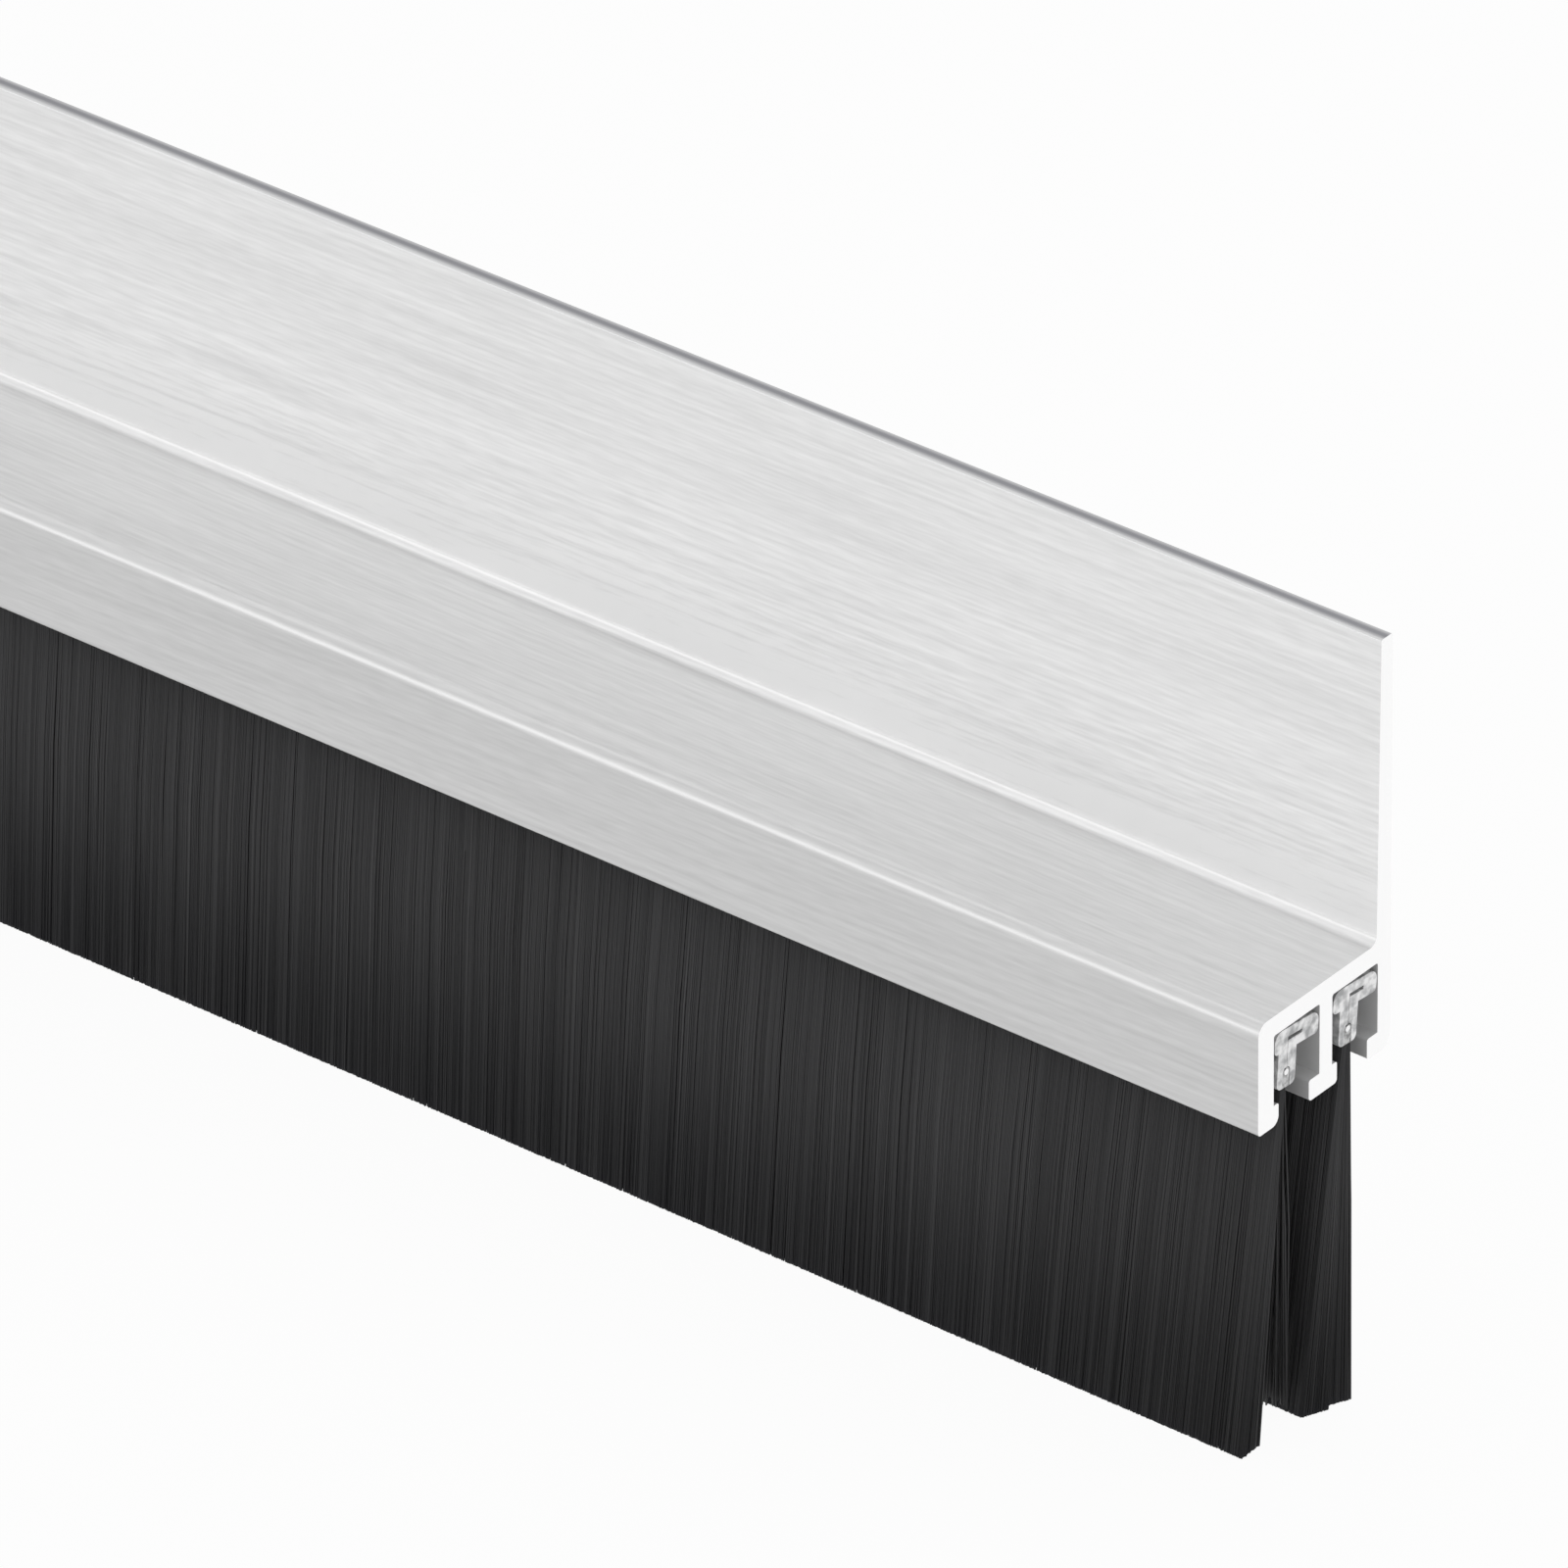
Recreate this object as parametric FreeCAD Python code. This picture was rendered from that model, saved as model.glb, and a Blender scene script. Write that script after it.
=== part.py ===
import FreeCAD, Part
import math
import os

# Double brush seal strip. An extruded aluminium carrier with a tall fixing flange holds two metal
# clamp strips side by side, and each clamp strip grips a row of black bristles folded over a wire.
# The strip lies along X. Y runs from the front wall to the flange's back, and Z is 0 at the
# bristle tips. Sizes are in millimetres.

# Stock length
strip_length = 1000.0

# Aluminium carrier
wall = 2.2                   # front wall
back_wall = 1.8              # wall behind the rear channel
flange_root = 2.0            # flange where it meets the web
flange_top = 1.6             # flange at its upper edge, thinned on its front face
flange_height = 30.6         # flange above the web
web = 2.0                    # web over the two channels
divider = 1.8                # wall between the two channels
channel_width = 6.5
channel_height = 7.15        # from the lips up to the underside of the web
lip_height = 2.15
front_lip = 0.7              # lip on the front side of each channel
rear_lip = 1.5               # lip on the rear side of each channel

# Rounded edges of the extrusion
nose_radius = 1.2
inner_corner_radius = 0.9
heel_radius = 1.4            # lower back corner of the flange
lip_radius = 0.9             # lower corner of the front lip
foot_radius = 0.4
small_radius = 0.25

# Clamp strip, rolled from sheet metal to a T section with a flattened head
clamp_clearance = 0.1        # between the clamp's head and the ceiling of the channel
clamp_head_width = 6.2
clamp_head_height = 2.2
clamp_height = 5.9
clamp_leg = 0.75             # each leg beside the bristles
clamp_slit_width = 2.0       # slit between the two layers of the head, behind the seam
clamp_slit_height = 0.35
clamp_seam = 0.06            # between the legs above the bristles
clamp_bend_radius = 1.0      # head's upper bends
clamp_fold_radius = 0.5      # head's lower bends
clamp_toe_radius = 0.6       # rolled lower edge of each leg
clamp_lean = 4.5             # degrees that the clamps sit out of upright in the channels
stem_offsets = {"front": -1.2, "rear": -0.75}   # stem's middle from the head's middle

# Bristles and the wire that they are folded over
core_wire_diameter = 0.6
core_wire_drop = 1.5         # wire's centre above the lower edge of the legs
bristle_wrap = 0.19          # bristles on each side of the wire
bristle_clearance = 0.02     # between the bristles and the metal that grips them
bristle_free_length = 35.7   # below the carrier
bristle_flare = 4.6          # width of a row at its tips
bristle_setback = 2.05       # middle of the tips behind the front of the channel

# Places worked out from the sizes above
channel_pitch = channel_width + divider
slot_width = channel_width - front_lip - rear_lip
bristle_grip = core_wire_diameter + 2 * (bristle_clearance + bristle_wrap)
clamp_stem_width = bristle_grip + 2 * (bristle_clearance + clamp_leg)
depth = wall + 2 * channel_width + divider + back_wall
front = -depth / 2
carrier_bottom = bristle_free_length
lip_top = carrier_bottom + lip_height
ceiling = lip_top + channel_height
web_top = ceiling + web
top = web_top + flange_height
channel_fronts = {"front": front + wall, "rear": front + wall + channel_pitch}

# Heights on a clamp strip, from the middle of its head
head_top = clamp_head_height / 2
legs_end = head_top - clamp_height
wire_height = legs_end + core_wire_drop


def outline(points):
    """Flat face in the YZ plane from corner points (y, z)."""
    corners = [FreeCAD.Vector(0, y, z) for y, z in points]
    return Part.Face(Part.makePolygon(corners + corners[:1]))


def rectangle(y_low, y_high, z_low, z_high):
    return outline([(y_low, z_low), (y_high, z_low), (y_high, z_high), (y_low, z_high)])


def stock(face):
    """Full length of the strip from a section in the YZ plane."""
    face.translate(FreeCAD.Vector(-strip_length / 2, 0, 0))
    return face.extrude(FreeCAD.Vector(strip_length, 0, 0))


def round_stock(radius, y, z):
    """Full length of a round bar with its centre at (y, z)."""
    start = FreeCAD.Vector(-strip_length / 2, y, z)
    return Part.makeCylinder(radius, strip_length, start, FreeCAD.Vector(1, 0, 0))


def long_edges(solid, corners):
    """Edges along X that pass through the given (y, z) corners."""
    found = []
    for edge in solid.Edges:
        box = edge.BoundBox
        if box.XLength < strip_length / 2:
            continue
        for y, z in corners:
            if abs(box.YMin - y) < 1e-4 and abs(box.ZMin - z) < 1e-4 and box.YLength + box.ZLength < 1e-4:
                found.append(edge)
    return found


def rounded(solid, radius, corners):
    return solid.makeFillet(radius, long_edges(solid, corners))


def carrier_profile():
    """Extruded carrier: a box with two undercut channels open below, and the fixing flange."""
    back = front + depth
    flange_front = back - flange_root
    thinned = back - flange_top
    section = outline([
        (front, carrier_bottom),
        (front, web_top),
        (flange_front, web_top),
        (thinned, top),
        (back, top),
        (back, carrier_bottom),
    ])
    for channel in channel_fronts.values():
        slot = channel + front_lip
        section = section.cut(rectangle(channel, channel + channel_width, lip_top, ceiling))
        section = section.cut(rectangle(slot, slot + slot_width, carrier_bottom, lip_top))
    solid = stock(section.Faces[0])
    solid = rounded(solid, inner_corner_radius, [(flange_front, web_top)])
    solid = rounded(solid, nose_radius, [(front, web_top)])
    solid = rounded(solid, heel_radius, [(back, carrier_bottom)])
    first_slot = channel_fronts["front"] + front_lip
    last_slot = channel_fronts["rear"] + front_lip
    solid = rounded(solid, lip_radius, [(first_slot, carrier_bottom)])
    solid = rounded(solid, foot_radius, [
        (front, carrier_bottom),
        (first_slot + slot_width, carrier_bottom),
        (last_slot, carrier_bottom),
        (last_slot + slot_width, carrier_bottom),
    ])
    lip_corners = []
    for slot in (first_slot, last_slot):
        lip_corners += [(slot, lip_top), (slot + slot_width, lip_top)]
    chamber_corners = []
    for channel in channel_fronts.values():
        chamber_corners += [(channel, ceiling), (channel + channel_width, ceiling)]
    edge_corners = [(thinned, top), (back, top)]
    return rounded(solid, small_radius, lip_corners + chamber_corners + edge_corners)


def seat(row):
    """Where a clamp strip sits: under the ceiling of its channel, leaning over a little."""
    lean = math.radians(clamp_lean)
    corner_reach = (clamp_head_width / 2 - clamp_bend_radius) * math.sin(lean)
    corner_rise = (head_top - clamp_bend_radius) * math.cos(lean) + clamp_bend_radius
    middle = FreeCAD.Vector(
        0, channel_fronts[row] + channel_width / 2, ceiling - clamp_clearance - corner_reach - corner_rise
    )
    return FreeCAD.Placement(middle, FreeCAD.Rotation(FreeCAD.Vector(1, 0, 0), -clamp_lean))


def seated(row, y, z):
    """Place (y, z) on the strip of a point given from the middle of a clamp strip's head."""
    point = seat(row).multVec(FreeCAD.Vector(0, y, z))
    return point.y, point.z


def clamp_strip(row):
    """Flattened head and two legs, which meet above the bristles that they grip."""
    middle = stem_offsets[row]
    half_head = clamp_head_width / 2
    half_stem = clamp_stem_width / 2
    half_gap = half_stem - clamp_leg
    half_slit = clamp_slit_height / 2
    half_seam = clamp_seam / 2
    section = rectangle(-half_head, half_head, -head_top, head_top)
    section = section.fuse(rectangle(middle - half_stem, middle + half_stem, legs_end, -head_top))
    section = section.removeSplitter()
    slit = rectangle(middle - half_seam, middle - half_seam + clamp_slit_width, -half_slit, half_slit)
    seam = rectangle(middle - half_seam, middle + half_seam, wire_height, 0)
    grip = rectangle(middle - half_gap, middle + half_gap, legs_end, wire_height)
    for hollow in (slit, seam, grip):
        section = section.cut(hollow)
    section = section.removeSplitter()
    solid = stock(section.Faces[0])
    solid = solid.cut(round_stock(half_gap, middle, wire_height))
    solid = rounded(solid, clamp_bend_radius, [(y, head_top) for y in (-half_head, half_head)])
    solid = rounded(solid, clamp_fold_radius, [(y, -head_top) for y in (-half_head, half_head)])
    toes = [(middle - half_stem, legs_end), (middle + half_stem, legs_end)]
    solid = rounded(solid, clamp_toe_radius, toes)
    return solid.transformed(seat(row).toMatrix())


def core_wire(row):
    return round_stock(core_wire_diameter / 2, *seated(row, stem_offsets[row], wire_height))


def bristle_row(row):
    """One row as a closed block: folded over the wire, straight in the clamp, flared to the tips."""
    middle = stem_offsets[row]
    half_grip = bristle_grip / 2
    half_tip = bristle_flare / 2
    tips = channel_fronts[row] + bristle_setback
    fan = outline([
        seated(row, middle - half_grip, wire_height),
        seated(row, middle + half_grip, wire_height),
        seated(row, middle + half_grip, legs_end),
        (tips + half_tip, 0),
        (tips - half_tip, 0),
        seated(row, middle - half_grip, legs_end),
    ])
    fold = seated(row, middle, wire_height)
    bend = round_stock(half_grip, *fold)
    hole = round_stock(core_wire_diameter / 2 + bristle_clearance, *fold)
    return stock(fan).fuse(bend).removeSplitter().cut(hole)


parts = {"carrier_profile": carrier_profile()}
for row in channel_fronts:
    parts[row + "_clamp_strip"] = clamp_strip(row)
    parts[row + "_core_wire"] = core_wire(row)
    parts[row + "_bristles"] = bristle_row(row)

os.makedirs("parts", exist_ok=True)
for name, shape in parts.items():
    solid = shape if shape.ShapeType == "Solid" else shape.Solids[0]
    box = solid.BoundBox
    print(name, solid.isValid(), len(shape.Solids), round(solid.Volume, 1), box)
    solid.exportStep("parts/" + name + ".step")
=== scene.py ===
import math

import bpy
import numpy as np
from mathutils import Matrix, Vector


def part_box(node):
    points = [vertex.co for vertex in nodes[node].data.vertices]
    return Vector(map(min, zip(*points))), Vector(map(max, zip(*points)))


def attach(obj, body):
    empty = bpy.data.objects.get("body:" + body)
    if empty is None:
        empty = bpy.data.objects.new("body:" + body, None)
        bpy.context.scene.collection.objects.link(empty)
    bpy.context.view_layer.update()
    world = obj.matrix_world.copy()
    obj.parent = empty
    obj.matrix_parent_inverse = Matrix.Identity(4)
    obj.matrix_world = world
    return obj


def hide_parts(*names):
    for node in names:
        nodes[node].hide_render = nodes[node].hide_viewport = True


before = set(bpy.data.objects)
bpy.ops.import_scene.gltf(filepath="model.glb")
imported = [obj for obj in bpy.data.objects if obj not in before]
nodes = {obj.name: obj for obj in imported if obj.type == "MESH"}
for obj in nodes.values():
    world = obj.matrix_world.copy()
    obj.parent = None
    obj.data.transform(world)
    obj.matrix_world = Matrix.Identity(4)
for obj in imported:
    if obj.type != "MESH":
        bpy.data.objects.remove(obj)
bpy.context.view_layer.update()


# The view: the strip runs away to the left from its sawn end, seen from the front, the right and
# above through a long lens, so that its edges stay nearly parallel.
VIEW_AZIMUTH = 39.0769       # degrees round from the front
VIEW_ELEVATION = 32.0253     # degrees above the level
VIEW_ROLL = -0.7685          # degrees
VIEW_LENS = 418.845          # mm
VIEW_PLACE = Vector((1.297133, -1.055130, 0.894335))    # m
VIEW_REACH = 20.0            # m that the camera sees

bpy.ops.object.camera_add(location=VIEW_PLACE)
camera = bpy.context.object
camera.name = "camera"
turn = Matrix.Rotation(math.radians(VIEW_AZIMUTH), 3, "Z")
tilt = Matrix.Rotation(math.radians(90 - VIEW_ELEVATION), 3, "X")
roll = Matrix.Rotation(math.radians(VIEW_ROLL), 3, "Z")
camera.rotation_euler = (turn @ tilt @ roll).to_euler()
camera.data.lens = VIEW_LENS
camera.data.clip_end = VIEW_REACH
bpy.context.scene.camera = camera


# The carrier is one aluminium extrusion. Its outer faces are brushed lengthwise on a belt and
# clear anodised, its ends are sawn, and the inside of the channels keeps the plain die finish.
# Each face's grey also carries painted light and shade by which way it looks, and the upper edge
# of the flange a painted dark reflection.
MM = 0.001
WEB = 2.0                    # mm, thickness of the web over the channels
CLAMP_PLAY = 0.1             # mm from the clamp strips up to the ceiling of the channels
SIDE_PLAY = 0.5              # mm before and behind the clamp strips that still belongs to the channels
END_PLAY = 0.1               # mm above the ceiling and below the lips that still does
FLANGE_START = 0.01          # mm above the web from where on a face belongs to the flange
FLANGE_EDGE = 1.6            # mm, thickness of the flange at its upper edge
FOOT_REACH = (0.6, 20.0)     # mm above the web between which the painted reflected light on the flange's foot fades
EDGE_DEPTH = (0.05, 0.3)     # mm below the upper edge between which the painted dark reflection fades
EDGE_WIDTH = (0.15, 0.9)     # mm from the middle of that edge between which it fades

BRUSH_LINE = (24.0, 0.45)    # mm along and across one brush line
BRUSH_HAIR = (2.6, 0.24)     # the same for the finest scratches, drawn as coarse as they need to show
BRUSH_BAND = (80.0, 1.4)     # and for the broad bands of a worn belt
BRUSH_TURN = 0.9             # degrees that the belt ran off the length on the upright faces
HAIR_SHARE = 0.4             # share of the scratches in the pattern
BAND_SHARE = 0.12            # share of the bands
BRUSH_CONTRAST = (0.28, 0.72)    # values of the pattern that give the darkest and the lightest grey
BRUSH_DEPTH = 0.02           # mm

ALUMINIUM_DARK = "#D9D9D9"
ALUMINIUM_LIGHT = "#EAEAEA"
# Grey of the painted dark reflection along the flange's upper edge.
SAWN_ALUMINIUM = "#FEFEFE"
EDGE_REFLECTION_GREY = "#86868A"
MILL_GREY = "#D8D8D8"
WALL_TONE = 0.78             # painted light and shade, how bright each face is drawn: the front wall
NOSE_TONE = 0.83             # rounded front edge
WEB_TONE = 0.87              # web
HOLLOW_HIGHLIGHT = 1.07           # lower part of the rounded inner corner, a painted highlight
CORNER_TONE = 0.91           # its upper part
FOOT_REFLECTED_LIGHT = 1.38             # foot of the flange, painted light reflected from the web
FLANGE_TONE = 1.035          # flange
UPRIGHT_TO_ROUND = (0.05, 0.3)   # how far a face looks up, from an upright face to a rounded edge
CORNER_TO_HOLLOW = (0.4, 0.8)    # the same from the inner corner's upper part to its lower part
ROUND_TO_LEVEL = (0.88, 1.0)     # and from a rounded edge to the level web
LOOKS_ENDWAYS = 0.7          # how far a face looks along the strip, from where on it is a sawn end

COLOUR_A, COLOUR_B, COLOUR_OUT = 6, 7, 2     # numbers of a Mix node's colour sockets


def linear(hex_colour):
    """sRGB hex to the linear RGBA that the shaders take."""
    channels = [int(hex_colour[i:i + 2], 16) / 255 for i in (1, 3, 5)]
    return [c / 12.92 if c <= 0.04045 else ((c + 0.055) / 1.055) ** 2.4 for c in channels] + [1.0]


def empty_material(name):
    """A new material with no nodes, and its node tree."""
    material = bpy.data.materials.new(name)
    material.use_nodes = True
    material.node_tree.nodes.clear()
    return material, material.node_tree


def add(tree, kind, sockets=(), output=0, **settings):
    """Adds a node and gives one of its outputs. Its sockets, by name or in order, take values or links."""
    node = tree.nodes.new(kind)
    for name, value in settings.items():
        setattr(node, name, value)
    by_name = sockets if isinstance(sockets, dict) else dict(enumerate(sockets))
    for socket, value in by_name.items():
        if isinstance(value, bpy.types.NodeSocket):
            tree.links.new(value, node.inputs[socket])
        else:
            node.inputs[socket].default_value = value
    return node.outputs[output] if len(node.outputs) else None


def drawn_lines(tree, place, size, detail=0.0):
    """A pattern of lines along X, with their length and width in mm."""
    along, across = 1 / (size[0] * MM), 1 / (size[1] * MM)
    drawn = add(tree, "ShaderNodeMapping", {"Vector": place, "Scale": (along, across, across)})
    return add(tree, "ShaderNodeTexNoise", {"Vector": drawn, "Scale": 1.0, "Detail": detail})


def painted_face_light(tree, upward, height):
    """Painted light and shade: how bright each face of the extrusion is drawn, by how far it looks up and
    whether it is above the web.
    """
    rounding = add(tree, "ShaderNodeMapRange", (upward, *UPRIGHT_TO_ROUND))
    foot_heights = [web_top + reach * MM for reach in FOOT_REACH]
    flange = add(tree, "ShaderNodeMapRange", (height, *foot_heights, FOOT_REFLECTED_LIGHT, FLANGE_TONE))
    corner = add(tree, "ShaderNodeMapRange", (upward, *CORNER_TO_HOLLOW, CORNER_TONE, HOLLOW_HIGHLIGHT))
    above = add(tree, "ShaderNodeMix", {"Factor": rounding, "A": flange, "B": corner})
    below = add(tree, "ShaderNodeMapRange", (rounding, 0, 1, WALL_TONE, NOSE_TONE))
    flange_start = web_top + FLANGE_START * MM
    over_web = add(tree, "ShaderNodeMath", (height, flange_start), operation="GREATER_THAN")
    sides = add(tree, "ShaderNodeMix", {"Factor": over_web, "A": below, "B": above})
    level = add(tree, "ShaderNodeMapRange", (upward, *ROUND_TO_LEVEL))
    return add(tree, "ShaderNodeMix", {"Factor": level, "A": sides, "B": WEB_TONE})


def painted_edge_reflection(tree, depth, height, brushed):
    """Painted dark reflection along the upper edge of the flange, darkest in its middle."""
    middle = strip_high.y - FLANGE_EDGE / 2 * MM
    from_middle = add(tree, "ShaderNodeMath", (depth, middle), operation="SUBTRACT")
    from_middle = add(tree, "ShaderNodeMath", (from_middle,), operation="ABSOLUTE")
    widths = [width * MM for width in EDGE_WIDTH]
    outer = add(tree, "ShaderNodeMapRange", (from_middle, *widths))
    greys = {"Factor": outer, COLOUR_A: linear(EDGE_REFLECTION_GREY), COLOUR_B: brushed}
    reflected_edge_grey = add(tree, "ShaderNodeMix", greys, COLOUR_OUT, data_type="RGBA")
    heights = [strip_high.z - drop * MM for drop in reversed(EDGE_DEPTH)]
    edge = add(tree, "ShaderNodeMapRange", (height, *heights))
    faces = {"Factor": edge, COLOUR_A: brushed, COLOUR_B: reflected_edge_grey}
    return add(tree, "ShaderNodeMix", faces, COLOUR_OUT, data_type="RGBA")


def inside_channels(tree, depth, height, sawn):
    """1 on the inner walls of the two channels, 0 on their sawn ends and elsewhere."""
    middle, reach = (channel_front + channel_back) / 2, (channel_back - channel_front) / 2
    in_depth = add(tree, "ShaderNodeMath", (depth, middle, reach), operation="COMPARE")
    middle, reach = (strip_low.z + ceiling) / 2, (ceiling - strip_low.z) / 2 + END_PLAY * MM
    in_height = add(tree, "ShaderNodeMath", (height, middle, reach), operation="COMPARE")
    inside = add(tree, "ShaderNodeMath", (in_depth, in_height), operation="MULTIPLY")
    return add(tree, "ShaderNodeMath", (inside, sawn), operation="SUBTRACT", use_clamp=True)


def brushed_anodised_aluminium():
    """Fine parallel lines that only just change the grey, over a soft metal sheen, with painted light and
    shade on the faces.
    """
    material, tree = empty_material("brushed_anodised_aluminium")
    place = add(tree, "ShaderNodeTexCoord", output="Object")
    normal = add(tree, "ShaderNodeNewGeometry", output="Normal")
    depth = add(tree, "ShaderNodeSeparateXYZ", {"Vector": place}, "Y")
    height = add(tree, "ShaderNodeSeparateXYZ", {"Vector": place}, "Z")
    upward = add(tree, "ShaderNodeSeparateXYZ", {"Vector": normal}, "Z")
    endways = add(tree, "ShaderNodeSeparateXYZ", {"Vector": normal}, "X")

    belt = add(tree, "ShaderNodeMapping", {"Vector": place, "Rotation": (0, math.radians(BRUSH_TURN), 0)})
    line, hair, band = (drawn_lines(tree, belt, size) for size in (BRUSH_LINE, BRUSH_HAIR, BRUSH_BAND))
    scratch = add(tree, "ShaderNodeMix", {"Factor": HAIR_SHARE, "A": line, "B": hair})
    streak = add(tree, "ShaderNodeMix", {"Factor": BAND_SHARE, "A": scratch, "B": band})
    contrast = add(tree, "ShaderNodeMapRange", (streak, *BRUSH_CONTRAST))
    greys = {"Factor": contrast, COLOUR_A: linear(ALUMINIUM_DARK), COLOUR_B: linear(ALUMINIUM_LIGHT)}
    grey = add(tree, "ShaderNodeMix", greys, COLOUR_OUT, data_type="RGBA")
    # Painted light and shade: each face's grey is scaled by which way it looks.
    tone = painted_face_light(tree, upward, height)
    toned = add(tree, "ShaderNodeVectorMath", {0: grey, "Scale": tone}, operation="SCALE")
    # Painted dark reflection along the flange's upper edge.
    edged = painted_edge_reflection(tree, depth, height, toned)
    endways = add(tree, "ShaderNodeMath", (endways,), operation="ABSOLUTE")
    sawn = add(tree, "ShaderNodeMath", (endways, LOOKS_ENDWAYS), operation="GREATER_THAN")
    finishes = {"Factor": sawn, COLOUR_A: edged, COLOUR_B: linear(SAWN_ALUMINIUM)}
    colour = add(tree, "ShaderNodeMix", finishes, COLOUR_OUT, data_type="RGBA")

    relief = {"Height": scratch, "Strength": 0.1, "Distance": BRUSH_DEPTH * MM}
    brushed = add(tree, "ShaderNodeBsdfPrincipled", {
        "Base Color": colour, "Metallic": 1.0, "Anisotropic": 0.3,
        "Roughness": add(tree, "ShaderNodeMapRange", (streak, 0.3, 0.7, 0.38, 0.46)),
        "Normal": add(tree, "ShaderNodeBump", relief),
        "Tangent": add(tree, "ShaderNodeCombineXYZ", {"X": 1.0}),
    })
    die_finish = {"Base Color": linear(MILL_GREY), "Roughness": 0.6, "Metallic": 0.5}
    mill = add(tree, "ShaderNodeBsdfPrincipled", die_finish)
    inside = inside_channels(tree, depth, height, sawn)
    whole = add(tree, "ShaderNodeMixShader", (inside, brushed, mill))
    add(tree, "ShaderNodeOutputMaterial", {"Surface": whole})
    return material


# Heights and depths on the carrier are taken from the clamp strips that fill its channels.
strip_low, strip_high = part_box("carrier_profile")
front_clamp_low, front_clamp_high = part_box("front_clamp_strip")
rear_clamp_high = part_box("rear_clamp_strip")[1]
ceiling = front_clamp_high.z + CLAMP_PLAY * MM
web_top = ceiling + WEB * MM
channel_front = front_clamp_low.y - SIDE_PLAY * MM
channel_back = rear_clamp_high.y + SIDE_PLAY * MM
nodes["carrier_profile"].data.materials[0] = brushed_anodised_aluminium()


# The clamp strips are galvanised steel sheet, rolled to a T section round the bristles. The zinc
# gives a light grey that changes a little from crystal to crystal, and the saw has smeared it at
# the ends.
ZINC_DARK = "#A4A5A6"
ZINC_LIGHT = "#F0F0F0"
ZINC_GRAIN = 1.1             # mm across one crystal
ZINC_CONTRAST = (0.35, 0.62)     # values of the pattern that give the darkest and the lightest crystal
ZINC_RELIEF = 0.05           # mm


def galvanised_steel():
    """Zinc crystals as soft patches of light and dark grey."""
    material, tree = empty_material("galvanised_steel")
    place = add(tree, "ShaderNodeTexCoord", output="Object")
    pattern = {"Vector": place, "Scale": 1 / (ZINC_GRAIN * MM), "Detail": 3.0}
    grain = add(tree, "ShaderNodeTexNoise", pattern)
    patch = add(tree, "ShaderNodeMapRange", (grain, *ZINC_CONTRAST))
    greys = {"Factor": patch, COLOUR_A: linear(ZINC_DARK), COLOUR_B: linear(ZINC_LIGHT)}
    relief = {"Height": grain, "Strength": 0.3, "Distance": ZINC_RELIEF * MM}
    zinc_coat = add(tree, "ShaderNodeBsdfPrincipled", {
        "Base Color": add(tree, "ShaderNodeMix", greys, COLOUR_OUT, data_type="RGBA"),
        "Metallic": 0.7,
        "Roughness": add(tree, "ShaderNodeMapRange", (patch, 0, 1, 0.4, 0.6)),
        "Normal": add(tree, "ShaderNodeBump", relief),
    })
    add(tree, "ShaderNodeOutputMaterial", {"Surface": zinc_coat})
    return material


zinc = galvanised_steel()
for node_name in ("front_clamp_strip", "rear_clamp_strip"):
    nodes[node_name].data.materials[0] = zinc


# The core wires are drawn steel. The bristles are folded over them, and only their cut ends show,
# in the middle of each clamp strip.
WIRE_BRIGHT = "#F4F4F4"
DRAWN_LINE = (10.0, 0.08)    # mm along and across one die line, drawn as coarse as it needs to show


def drawn_steel_wire():
    """Bright drawn steel with faint lines along the wire."""
    material, tree = empty_material("drawn_steel_wire")
    place = add(tree, "ShaderNodeTexCoord", output="Object")
    lines = drawn_lines(tree, place, DRAWN_LINE, 1.0)
    steel = add(tree, "ShaderNodeBsdfPrincipled", {
        "Base Color": linear(WIRE_BRIGHT), "Metallic": 1.0,
        "Roughness": add(tree, "ShaderNodeMapRange", (lines, 0, 1, 0.2, 0.4)),
    })
    add(tree, "ShaderNodeOutputMaterial", {"Surface": steel})
    return material


wire_finish = drawn_steel_wire()
for node_name in ("front_core_wire", "rear_core_wire"):
    nodes[node_name].data.materials[0] = wire_finish


# Each row of bristles is thousands of black nylon filaments, folded over its wire so that two legs
# hang down, pressed together by the clamp and cut level at the tips. A dark core stands for the
# filaments that the outer ones hide, and a sawn bundle in the clamp for those over the wire.
FILAMENT_RADIUS = 0.115      # mm
FILAMENT_BEND = 0.45         # share of its length at which a filament bends
FILAMENTS = 13900            # in each leg of each row
SKIN_SHARE = 0.7             # share of them that lies in the outer skin of the leg
SKIN_DEPTH = 0.08            # mm that this skin is deep at the tips
SKIN_SPREAD = 1.02           # how far the skin's tips spread, where 1 is the row's half width
HIDDEN_SPREAD = (-0.1, 1.0)  # the same for all other filaments
END_FILAMENTS = 450          # filaments at each end, where the whole depth of the row shows
END_DEPTH = 1.1              # mm from the end in which they stand
ROOT_MARGIN = 0.15           # mm from the end to the first root
ROOT_SCATTER = 0.04          # mm along the strip
ROOT_RISE = 0.4              # mm from the clamp's lower edge up to the roots
TIP_MARGIN = 0.13            # mm from the end to the first tip
LENGTH_SPREAD = 0.06         # mm between the longest and the shortest filament
GRIP_HALF = 0.4              # mm from the middle to the outer filaments in the clamp
CLAMP_LEAN = 4.5             # degrees that the clamps lean in their channels

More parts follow.
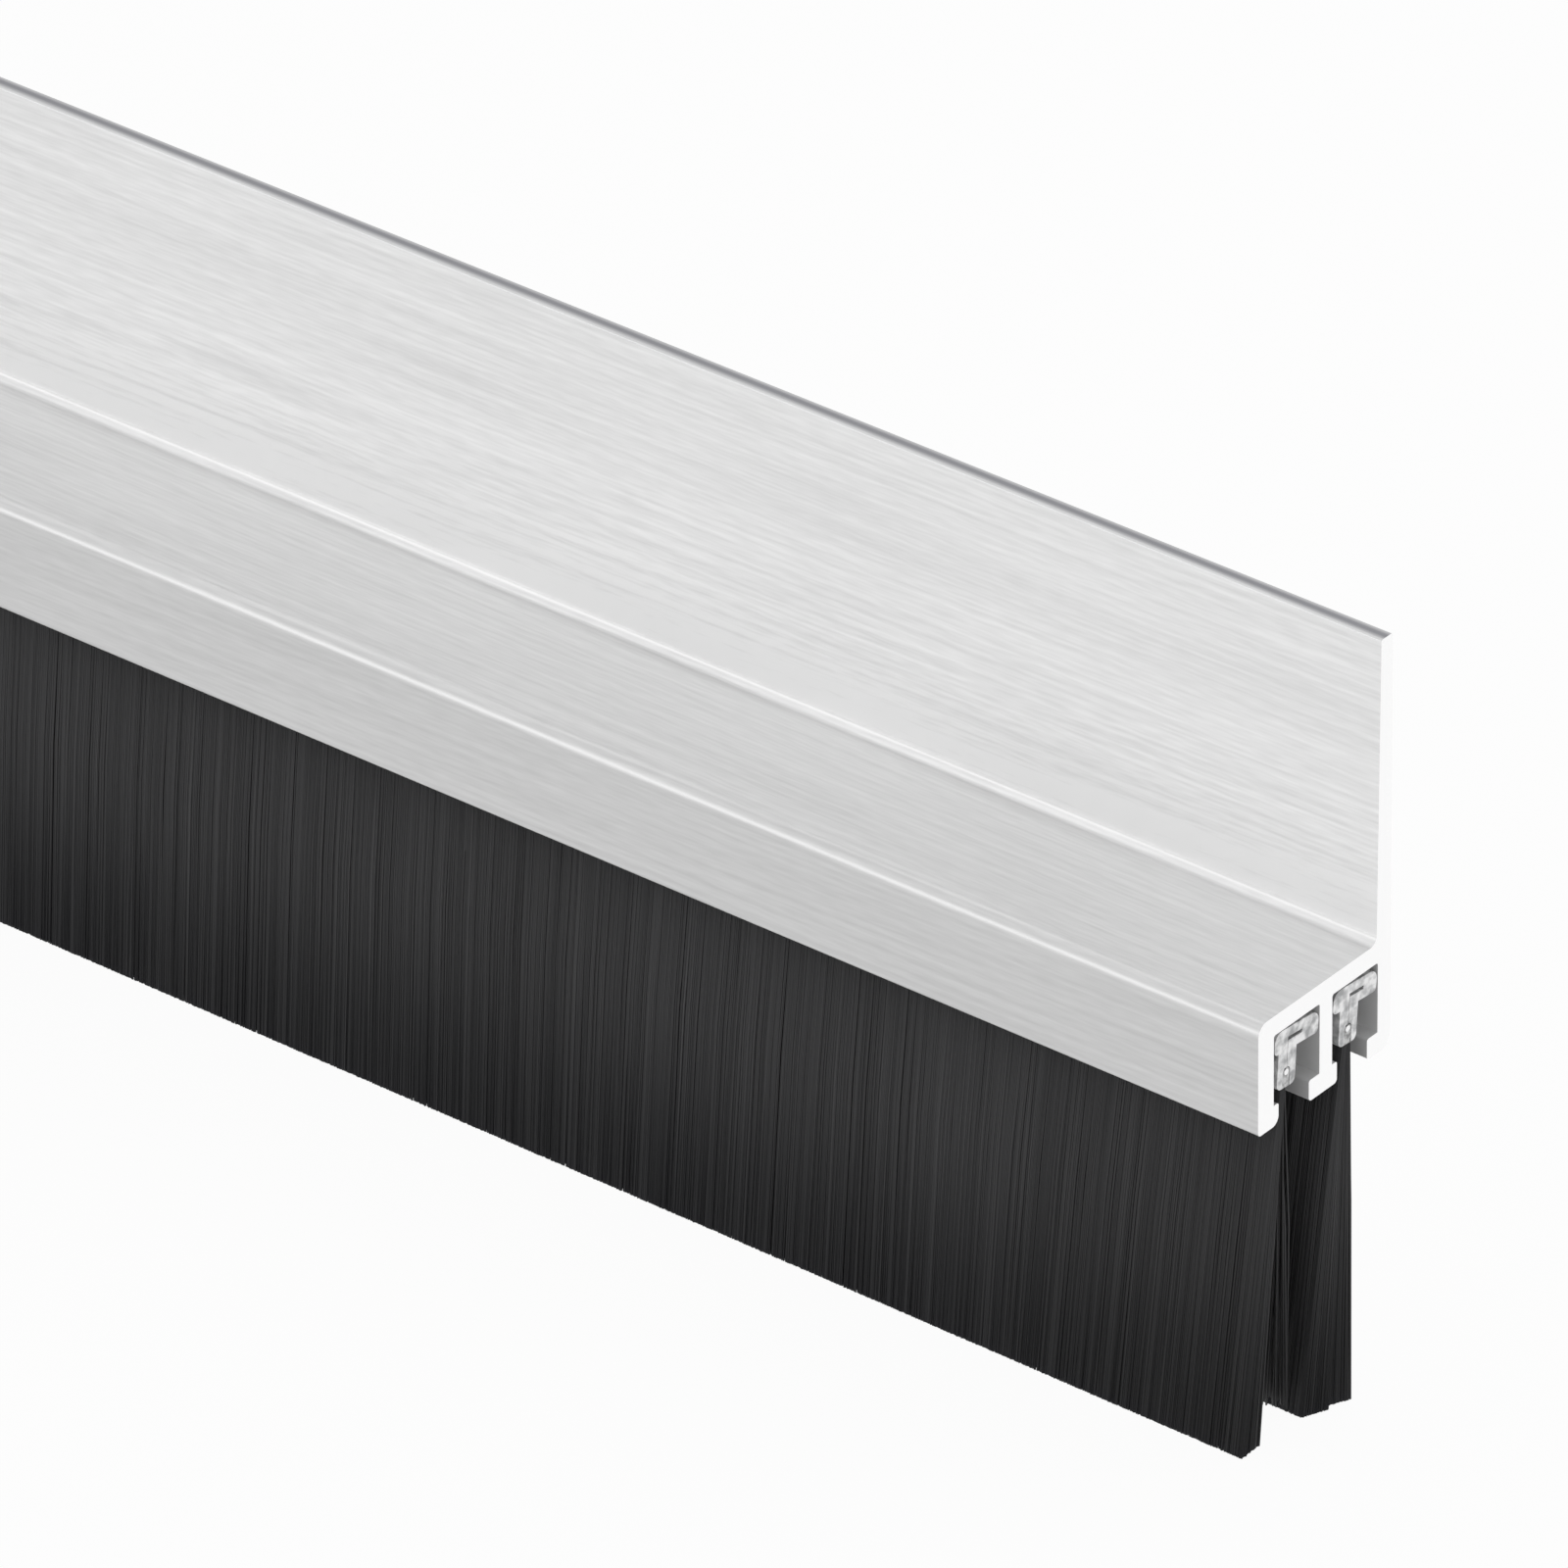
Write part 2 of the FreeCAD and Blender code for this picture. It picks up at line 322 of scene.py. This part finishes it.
BULGE = 0.35                 # mm that the outer filaments bow out halfway down
BULGE_REACH = 8.0            # mm from the right end over which the bulge comes in
BOW_SCATTER = (0.04, 0.02)   # mm along and across the strip that the single filaments bow
STEADY_LEAN = 1.3            # mm that the tips lean along the strip
END_LEAN = 1.9               # mm more at the right end
REAR_LEAN = 1.05             # mm that the rear row's middle leans back there, and its back twice as much
END_REACH = 40.0             # mm from an end over which these come in or fade
WAVE = (24.0, 0.55)          # mm from one slow change of lean to the next, and how much in mm
TUFT = (1.6, 0.07)           # the same from one tuft to the next
LEAN_SCATTER = 0.03          # mm from one filament to the next
SQUEEZE = {("front", 1): -0.85, ("rear", 1): 0.12}   # change of a leg's spread at the right end
SQUEEZE_REACH = 18.0         # mm over which that fades

STRAYS = 22                  # filaments that the saw left splayed from the front row to the rear one
STRAY_REACH = (4.3, 4.8, 5.2)    # mm that their tips reach out, one of these for each
STRAY_SCATTER = 0.12         # mm
STRAY_LEAN = (-2.6, 0.2)     # mm along the strip
STRAY_LIFT = (1.1, 1.7)      # mm that their tips hang higher
STRAY_BOW = (0.0, 0.5)       # mm that they bow out halfway down

NYLON_CUT = "#02020A"
# Painted shade: the filaments' black runs from the root colour down to a darker one at the tips.
NYLON_TIP = "#07080C"
NYLON_ROOT = "#3A3A3B"
NYLON_SAWN = ("#8C8C8C", "#D6D6D6")
CUT_HEIGHT = (0.6, 1.6)      # mm above the tips between which the cut ends' colour fades
FULL_COLOUR = 25.0           # mm above the tips where the painted shade ends and the filaments have the colour of their roots
SAWN_GRAIN = 1 / 1.9         # mm across one smear of the saw
SAWN_CONTRAST = (0.35, 0.6)  # values of the pattern that give the darkest and the lightest smear
NYLON_IOR = 1.53
SHADE_FINE = (0.7, 0.18)     # mm from one change of shade to the next, and how much
SHADE_BROAD = (6.0, 0.22)    # the same for the broad changes
SHADE_SCATTER = 0.05         # from one filament to the next
SHADE_STRENGTH = (0.5, 1.25)     # brightness that the darkest and the lightest shade give
END_PAINTED_SHADE = 0.9             # painted shade: how much darker the tips are drawn at the right end
END_DARK = 30.0              # mm from that end to where they are as elsewhere
END_FADE = 16.0              # mm over which that fades

CORE_DEPTH = 0.15            # mm from the skin in to the core
CORE_MARGIN = 0.9            # mm from the strip's ends to the core's
CORE_TOP = 0.3               # mm from the clamp's lower edge up to the core's top
CORE_BOTTOM = 0.12           # mm from the tips up to the core's underside
CORE_CUTS = (4, 10, 20, 35, 60, 120, 880, 960)   # mm from its right end where it can bend
CORE_LEVELS = (0.25, 0.5, 0.75)      # shares of its height where it can bend
CORE_TONE = 0.4              # its shade, where a filament's is between 0 and 1
BUNDLE_WIDTH = 1.0           # mm
BUNDLE_ROUND = 0.45          # mm, rounding of its top over the wire
BUNDLE_MARGIN = 0.05         # mm that it stops short of the clamp strip's ends

strip_start, strip_end = strip_low.x / MM, strip_high.x / MM     # mm


def black_nylon():
    """Black filaments, each a slightly different black, with painted shade darker towards the tips and at
    the right end.
    """
    material, tree = empty_material("black_nylon_filament")
    shade = add(tree, "ShaderNodeAttribute", output="Fac", attribute_name="tone")
    place = add(tree, "ShaderNodeTexCoord", output="Object")
    height = add(tree, "ShaderNodeSeparateXYZ", {"Vector": place}, "Z")
    # Painted shade: darker from the roots down to the tips.
    from_tips = (height, 0, FULL_COLOUR * MM)
    painted_tip_shade = add(tree, "ShaderNodeMapRange", from_tips, interpolation_type="SMOOTHSTEP")
    blacks = {"Factor": painted_tip_shade, COLOUR_A: linear(NYLON_TIP), COLOUR_B: linear(NYLON_ROOT)}
    black = add(tree, "ShaderNodeMix", blacks, COLOUR_OUT, data_type="RGBA")
    strength = add(tree, "ShaderNodeMapRange", (shade, -0.5, 1, *SHADE_STRENGTH))
    toned = add(tree, "ShaderNodeVectorMath", {0: black, "Scale": strength}, operation="SCALE")
    cut_heights = [above_tips * MM for above_tips in CUT_HEIGHT]
    above_cut = add(tree, "ShaderNodeMapRange", (height, *cut_heights))
    ends = {"Factor": above_cut, COLOUR_A: linear(NYLON_CUT), COLOUR_B: toned}
    nylon_shader = add(tree, "ShaderNodeBsdfPrincipled", {
        "Base Color": add(tree, "ShaderNodeMix", ends, COLOUR_OUT, data_type="RGBA"),
        "Roughness": 0.6, "IOR": NYLON_IOR, "Specular IOR Level": 0.3,
    })
    add(tree, "ShaderNodeOutputMaterial", {"Surface": nylon_shader})
    return material


def sawn_nylon():
    """The pressed bundle: black on its sides, smeared grey where the saw went through."""
    material, tree = empty_material("sawn_nylon_bundle")
    place = add(tree, "ShaderNodeTexCoord", output="Object")
    normal = add(tree, "ShaderNodeNewGeometry", output="Normal")
    pattern = {"Vector": place, "Scale": 1 / (SAWN_GRAIN * MM), "Detail": 2.0}
    grain = add(tree, "ShaderNodeTexNoise", pattern)
    smear = add(tree, "ShaderNodeMapRange", (grain, *SAWN_CONTRAST))
    greys = {"Factor": smear, COLOUR_A: linear(NYLON_SAWN[0]), COLOUR_B: linear(NYLON_SAWN[1])}
    mottle = add(tree, "ShaderNodeMix", greys, COLOUR_OUT, data_type="RGBA")
    endways = add(tree, "ShaderNodeSeparateXYZ", {"Vector": normal}, "X")
    endways = add(tree, "ShaderNodeMath", (endways,), operation="ABSOLUTE")
    sawn = add(tree, "ShaderNodeMath", (endways, LOOKS_ENDWAYS), operation="GREATER_THAN")
    faces = {"Factor": sawn, COLOUR_A: linear(NYLON_ROOT), COLOUR_B: mottle}
    bundle_shader = add(tree, "ShaderNodeBsdfPrincipled", {
        "Base Color": add(tree, "ShaderNodeMix", faces, COLOUR_OUT, data_type="RGBA"),
        "Roughness": 0.6, "IOR": NYLON_IOR,
    })
    add(tree, "ShaderNodeOutputMaterial", {"Surface": bundle_shader})
    return material


def filament_stock():
    """One straight filament, hanging down 1 m from the origin, as points and faces to copy."""
    radius = FILAMENT_RADIUS * MM
    bpy.ops.mesh.primitive_cylinder_add(vertices=3, radius=radius, depth=1.0, location=(0, 0, -0.5))
    rod = bpy.context.object
    bpy.ops.object.transform_apply(location=True)
    bpy.ops.object.mode_set(mode="EDIT")
    bpy.ops.mesh.select_all(action="SELECT")
    bpy.ops.mesh.bisect(plane_co=(0, 0, -FILAMENT_BEND), plane_no=(0, 0, 1))
    bpy.ops.object.mode_set(mode="OBJECT")
    points = np.array([v.co for v in rod.data.vertices])
    faces = [list(p.vertices) for p in rod.data.polygons]
    bpy.data.objects.remove(rod)
    return points, faces


def slow_noise(rng, along, spacing):
    """Smooth random curve along the strip, with one random value for each spacing in mm."""
    values = rng.uniform(-1, 1, int((strip_end - strip_start) / spacing) + 3)
    steps = (along - strip_start) / spacing
    index = steps.astype(int)
    part = steps - index
    part = part * part * (3 - 2 * part)
    return values[index] * (1 - part) + values[index + 1] * part


def lean_at(along):
    """How far the tips lean along the strip, in mm, by the place of the root."""
    steady = STEADY_LEAN * (1 - np.exp(-(along - strip_start) / END_REACH))
    return -steady - END_LEAN * np.exp(-(strip_end - along) / END_REACH)


def squeeze_at(row, side, along):
    """Share of its full spread that a leg has. Two of the legs have less or more near the right end."""
    from_right = np.maximum(strip_end - along, 0)
    return 1 + SQUEEZE.get((row, side), 0) * np.exp(-from_right / SQUEEZE_REACH)


def bulge_at(along):
    """How far the outer filaments bow out halfway down, in mm: less at the right end."""
    return BULGE * (1 - np.exp(-(strip_end - along) / BULGE_REACH))


def row_places(row):
    """In mm: a row's middle in the clamp and at the tips, half its width there, the clamp's lower edge."""
    low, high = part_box(row + "_bristles")
    wire_low, wire_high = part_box(row + "_core_wire")
    wire_y, wire_z = (wire_low.y + wire_high.y) / 2 / MM, (wire_low.z + wire_high.z) / 2 / MM
    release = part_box(row + "_clamp_strip")[0].z / MM
    gripped = wire_y - (wire_z - release) * math.tan(math.radians(CLAMP_LEAN))
    return gripped, (low.y + high.y) / 2 / MM, (high.y - low.y) / 2 / MM, release


def root_places(rng, skin, hidden):
    """Along the strip in mm: the skin in even steps, the hidden filaments anywhere, then the two ends."""
    last = strip_end - ROOT_MARGIN
    even = np.linspace(-last, last, skin) + rng.uniform(-ROOT_SCATTER, ROOT_SCATTER, skin)
    anywhere = rng.uniform(-last, last, hidden)
    from_end = rng.uniform(ROOT_MARGIN, END_DEPTH, 2 * END_FILAMENTS)
    ends = (strip_end - from_end) * np.repeat((1, -1), END_FILAMENTS)
    return np.concatenate([even, anywhere, ends])


def tip_leans(rng, row, along, spread):
    """How far each filament's tip leans along the strip, in mm."""
    wave = WAVE[1] * slow_noise(rng, along, WAVE[0])
    tuft = TUFT[1] * slow_noise(rng, along, TUFT[0])
    lean = lean_at(along) + wave + tuft + rng.normal(0, LEAN_SCATTER, FILAMENTS)
    if row == "rear":
        lean = lean + REAR_LEAN * (1 + spread) * np.exp(-(strip_end - along) / END_REACH)
    return lean


def splay(rng, tips, bows):
    """Leads some filaments out of the front row towards the rear one."""
    tips[:, 0] += rng.uniform(*STRAY_LEAN, STRAYS)
    tips[:, 1] += rng.choice(STRAY_REACH, STRAYS) + rng.normal(0, STRAY_SCATTER, STRAYS)
    tips[:, 2] += rng.uniform(*STRAY_LIFT, STRAYS)
    bows[:, 1] += rng.uniform(*STRAY_BOW, STRAYS)


def filament_shades(rng, along):
    """How light each filament is, from 0 to 1, in fine and broad changes along the strip."""
    fine = SHADE_FINE[1] * slow_noise(rng, along, SHADE_FINE[0])
    broad = SHADE_BROAD[1] * slow_noise(rng, along, SHADE_BROAD[0])
    return np.clip(0.5 + fine + broad + rng.normal(0, SHADE_SCATTER, FILAMENTS), 0, 1)


def joined_mesh(name, coords, faces):
    """One mesh of all the filaments: the points of each in metres, and the faces of one."""
    count, corners = coords.shape[:2]
    starts = (np.arange(count) * corners)[:, None]
    loops = np.concatenate([np.array(face) for face in faces])
    sizes = np.tile([len(face) for face in faces], count)
    mesh = bpy.data.meshes.new(name)
    mesh.vertices.add(count * corners)
    mesh.vertices.foreach_set("co", coords.ravel())
    mesh.loops.add(count * len(loops))
    mesh.loops.foreach_set("vertex_index", (starts + loops[None, :]).ravel())
    mesh.polygons.add(len(sizes))
    mesh.polygons.foreach_set("loop_start", np.concatenate([[0], np.cumsum(sizes)[:-1]]))
    mesh.polygons.foreach_set("loop_total", sizes)
    mesh.update(calc_edges=True)
    mesh.validate()
    return mesh


def leg_of_bristles(row, side, seed):
    """All the filaments of one leg of a row, joined in one mesh."""
    rng = np.random.default_rng(seed)
    gripped, middle, half_tip, release = row_places(row)
    skin = int(SKIN_SHARE * FILAMENTS)
    hidden = FILAMENTS - skin - 2 * END_FILAMENTS
    along = root_places(rng, skin, hidden)
    spread = rng.uniform(*HIDDEN_SPREAD, FILAMENTS)
    spread[:skin] = SKIN_SPREAD - rng.uniform(0, SKIN_DEPTH / half_tip, skin)
    spread = spread * side * squeeze_at(row, side, along)
    lean = tip_leans(rng, row, along, spread)

    root_z = np.full(FILAMENTS, release + ROOT_RISE)
    root = np.column_stack([along, gripped + spread * GRIP_HALF, root_z])
    tip_z = rng.uniform(0, LENGTH_SPREAD, FILAMENTS)
    tip_x = np.clip(along + lean, TIP_MARGIN - strip_end, strip_end - TIP_MARGIN)
    tip = np.column_stack([tip_x, middle + spread * half_tip, tip_z])
    bulge = spread * bulge_at(along) + rng.normal(0, BOW_SCATTER[1], FILAMENTS)
    bow = np.column_stack([rng.normal(0, BOW_SCATTER[0], FILAMENTS), bulge, np.zeros(FILAMENTS)])
    strays = slice(skin + hidden, skin + hidden + STRAYS)
    if (row, side) == ("front", 1):
        splay(rng, tip[strays], bow[strays])

    points, faces = filament_stock()
    down = -points[:, 2]
    turn = rng.uniform(0, 2 * math.pi, FILAMENTS)[:, None]
    path = root[:, None, :] * (1 - down)[None, :, None] + tip[:, None, :] * down[None, :, None]
    path = path + bow[:, None, :] * (down * (1 - down) * 4)[None, :, None]
    coords = path * MM
    coords[:, :, 0] += points[:, 0] * np.cos(turn) - points[:, 1] * np.sin(turn)
    coords[:, :, 1] += points[:, 0] * np.sin(turn) + points[:, 1] * np.cos(turn)
    name = f"{row}_bristles_{'front' if side < 0 else 'rear'}_leg"
    mesh = joined_mesh(name, coords, faces)

    shade = filament_shades(rng, along)
    if (row, side) == ("front", 1):
        shade[strays] = 1.0
    # Painted shade: the tips near the right end are drawn darker.
    darker = np.clip((END_DARK - (strip_end - along)) / END_FADE, 0, 1) * END_PAINTED_SHADE
    tones = shade[:, None] - darker[:, None] * down[None, :]
    mesh.attributes.new("tone", "FLOAT", "POINT").data.foreach_set("value", tones.ravel())
    mesh.shade_smooth()
    mesh.materials.append(nylon)
    leg = bpy.data.objects.new(name, mesh)
    bpy.context.scene.collection.objects.link(leg)
    return leg


def bristle_core(row):
    """Dark block inside a row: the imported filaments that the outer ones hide."""
    gripped, middle, half_tip, release = row_places(row)
    top, bottom, half_length = release + CORE_TOP, CORE_BOTTOM, strip_end - CORE_MARGIN
    half_grip = GRIP_HALF - CORE_DEPTH
    bpy.ops.mesh.primitive_cube_add(size=1, location=(0, gripped * MM, (top + bottom) / 2 * MM))
    block = bpy.context.object
    block.scale = (2 * half_length * MM, 2 * half_grip * MM, (top - bottom) * MM)
    bpy.ops.object.transform_apply(location=True, scale=True)
    bpy.ops.object.mode_set(mode="EDIT")
    for cut in CORE_CUTS:
        bpy.ops.mesh.select_all(action="SELECT")
        bpy.ops.mesh.bisect(plane_co=((half_length - cut) * MM, 0, 0), plane_no=(1, 0, 0))
    for level in CORE_LEVELS:
        bpy.ops.mesh.select_all(action="SELECT")
        bpy.ops.mesh.bisect(plane_co=(0, 0, (top + (bottom - top) * level) * MM), plane_no=(0, 0, 1))
    bpy.ops.object.mode_set(mode="OBJECT")
    for corner in block.data.vertices:
        along = corner.co.x / MM
        down = (top - corner.co.z / MM) / (top - bottom)
        side = 1 if corner.co.y / MM > gripped else -1
        squeeze = squeeze_at(row, side, along)
        at_root = gripped + side * half_grip * squeeze
        at_tip = middle + side * (half_tip - CORE_DEPTH) * squeeze
        bulge = side * squeeze * bulge_at(along) * 4 * down * (1 - down)
        corner.co.x += float(lean_at(along)) * down * MM
        corner.co.y = (at_root * (1 - down) + at_tip * down + bulge) * MM
    block.name = block.data.name = f"{row}_bristles_core"
    tone = block.data.attributes.new("tone", "FLOAT", "POINT")
    tone.data.foreach_set("value", np.full(len(block.data.vertices), CORE_TONE))
    block.data.materials.append(nylon)
    return block


def bristle_bundle(row):
    """The part of a row that the clamp presses over the core wire, a little short of the wire's ends."""
    gripped, _, _, release = row_places(row)
    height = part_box(row + "_bristles")[1].z / MM - release
    half_length = strip_end - BUNDLE_MARGIN
    bpy.ops.mesh.primitive_cube_add(size=1, location=(0, 0, height / 2 * MM))
    block = bpy.context.object
    block.scale = (2 * half_length * MM, BUNDLE_WIDTH * MM, height * MM)
    bpy.ops.object.transform_apply(location=True, scale=True)
    bpy.ops.object.mode_set(mode="EDIT")
    bpy.ops.mesh.select_all(action="DESELECT")
    bpy.ops.object.mode_set(mode="OBJECT")
    for edge in block.data.edges:
        ends = [block.data.vertices[i].co for i in edge.vertices]
        lengthwise = abs(ends[0].x - ends[1].x) > half_length * MM
        edge.select = lengthwise and all(end.z > height / 2 * MM for end in ends)
    bpy.ops.object.mode_set(mode="EDIT")
    bpy.ops.mesh.bevel(offset=BUNDLE_ROUND * MM, segments=6)
    bpy.ops.object.mode_set(mode="OBJECT")
    block.location = (0, gripped * MM, release * MM)
    block.rotation_euler.x = math.radians(-CLAMP_LEAN)
    bpy.ops.object.transform_apply(location=True, rotation=True)
    block.name = block.data.name = f"{row}_bristles_in_clamp"
    block.data.materials.append(sawn_bundle)
    return block


nylon = black_nylon()
sawn_bundle = sawn_nylon()
bpy.ops.object.select_all(action="DESELECT")
for number, (row, side) in enumerate((("front", -1), ("front", 1), ("rear", -1), ("rear", 1))):
    made = [leg_of_bristles(row, side, number + 1)]
    if side == 1:
        made += [bristle_core(row), bristle_bundle(row)]
    for piece in made:
        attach(piece, "root")
        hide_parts(row + "_bristles")


# The setting: a white floor, a white surround and three soft lamps, kept plain. Floor and surround
# glow white by themselves, and the lamps light the strip and give the floor its faint shadow.
FLOOR_SIZE = 6.0             # m
FLOOR_WHITE = "#F2F2F2"
FLOOR_GLOW = 0.95            # share of the floor's white that is its own, the rest is lamplight
SURROUND = 0.6               # strength of the light that the surround gives
WHITE = (1, 1, 1, 1)
LAMPS = {                    # place and size in m, and watts
    "front": ((-0.65, -1.66, 0.36), (1.4, 0.7), 3.0),
    "back": ((0.0, 0.9, 1.7), (1.4, 1.4), 3.0),
    "side": ((2.2, -0.9, 0.7), (1.0, 1.0), 6.6),
}
LAMPS_AIM = Vector((0.42, 0, 0.04))  # m


def seen_directly(tree):
    """1 for what the camera, a reflection or a clear surface shows, 0 for the light on the object."""
    kinds = ("Is Camera Ray", "Is Glossy Ray", "Is Transmission Ray")
    camera_ray, glossy_ray, clear_ray = (add(tree, "ShaderNodeLightPath", output=kind) for kind in kinds)
    shown = add(tree, "ShaderNodeMath", (camera_ray, glossy_ray), operation="MAXIMUM")
    return add(tree, "ShaderNodeMath", (shown, clear_ray), operation="MAXIMUM")


bpy.ops.object.select_all(action="DESELECT")
bpy.ops.mesh.primitive_plane_add(size=FLOOR_SIZE, location=(0, 0, 0))
floor = bpy.context.object
floor.name = "floor"
floor_paint, floor_tree = empty_material("white_floor_paint")
matt = add(floor_tree, "ShaderNodeBsdfDiffuse", {"Color": linear(FLOOR_WHITE)})
glow = add(floor_tree, "ShaderNodeEmission", {"Color": WHITE, "Strength": 1.0})
share = add(floor_tree, "ShaderNodeMapRange", (seen_directly(floor_tree), 0, 1, 0, FLOOR_GLOW))
paint = add(floor_tree, "ShaderNodeMixShader", (share, matt, glow))
add(floor_tree, "ShaderNodeOutputMaterial", {"Surface": paint})
floor.data.materials.append(floor_paint)

world = bpy.data.worlds.new("white_surround")
world.use_nodes = True
world_tree = world.node_tree
world_tree.nodes.clear()
strength = add(world_tree, "ShaderNodeMapRange", (seen_directly(world_tree), 0, 1, SURROUND, 1.0))
surround = add(world_tree, "ShaderNodeBackground", {"Strength": strength, "Color": WHITE})
add(world_tree, "ShaderNodeOutputWorld", {"Surface": surround})
bpy.context.scene.world = world

for lamp_name, (lamp_place, lamp_size, watts) in LAMPS.items():
    bpy.ops.object.light_add(type="AREA", location=lamp_place)
    lamp = bpy.context.object
    lamp.name = lamp_name
    lamp.data.shape = "RECTANGLE"
    lamp.data.size, lamp.data.size_y = lamp_size
    lamp.data.energy = watts
    lamp.rotation_euler = (LAMPS_AIM - Vector(lamp_place)).to_track_quat("-Z", "Y").to_euler()

bpy.context.scene.view_settings.view_transform = "Standard"
